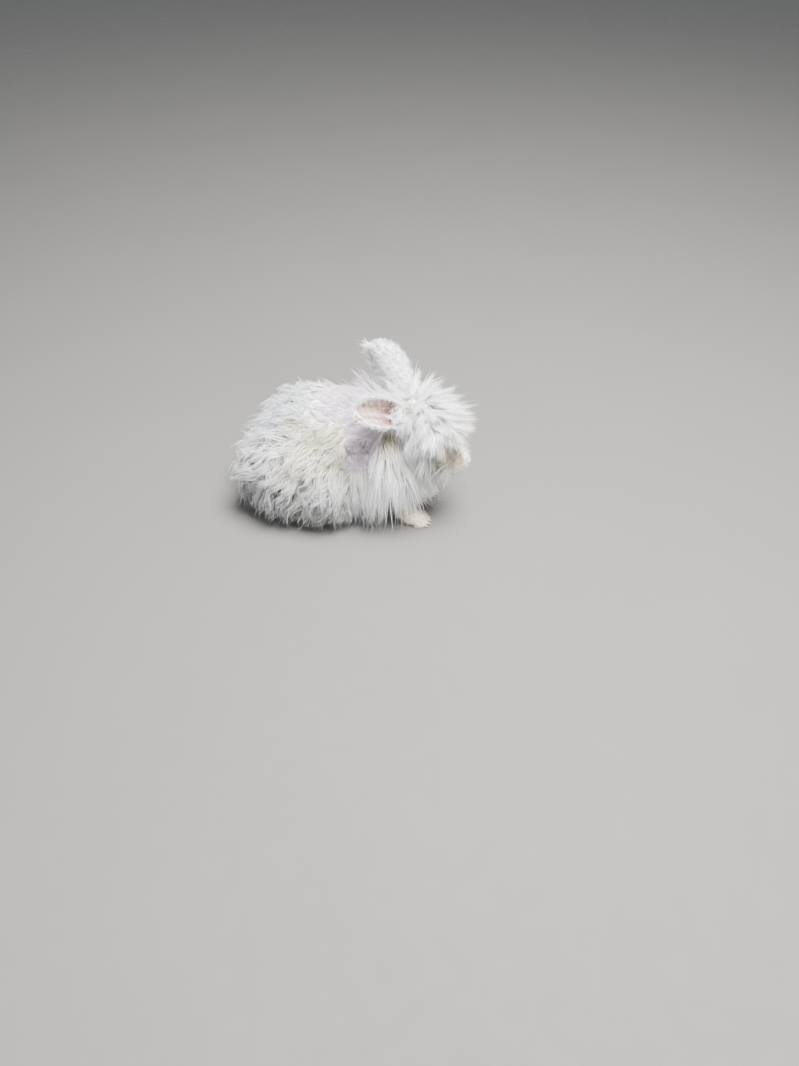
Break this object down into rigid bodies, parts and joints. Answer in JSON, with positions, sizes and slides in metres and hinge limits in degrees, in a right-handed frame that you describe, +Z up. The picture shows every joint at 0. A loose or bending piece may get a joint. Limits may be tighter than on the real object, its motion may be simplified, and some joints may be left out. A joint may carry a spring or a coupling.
{
  "type": "angora rabbit model",
  "caption": "Life-size still model of a long-haired angora rabbit crouching with its head lowered, one ear up and one laid back, for display on a flat surface.",
  "frame": {"origin": "middle of the footprint of the whole model, on the floor under its feet", "axes": "+X the way the rabbit faces, along its length; +Y its left side; +Z up"},
  "size_m": [0.316, 0.1895, 0.2365],
  "materials": {
    "wool": "long, soft, matt white wool in wavy locks",
    "ear_skin": "thin pink skin under short white down",
    "paw_fur": "short, flat, cream-stained fur",
    "eye": "wet, glossy dark eye"
  },
  "bodies": {
    "root": {"head": "wool", "neck": "wool", "torso": "wool", "tail": "wool", "ear_left": "ear_skin", "ear_right": "ear_skin", "eye_left": "eye", "eye_right": "eye", "foreleg_left": "paw_fur", "foreleg_right": "paw_fur", "hindleg_left": "wool", "hindleg_right": "wool"}
  },
  "joints": []
}
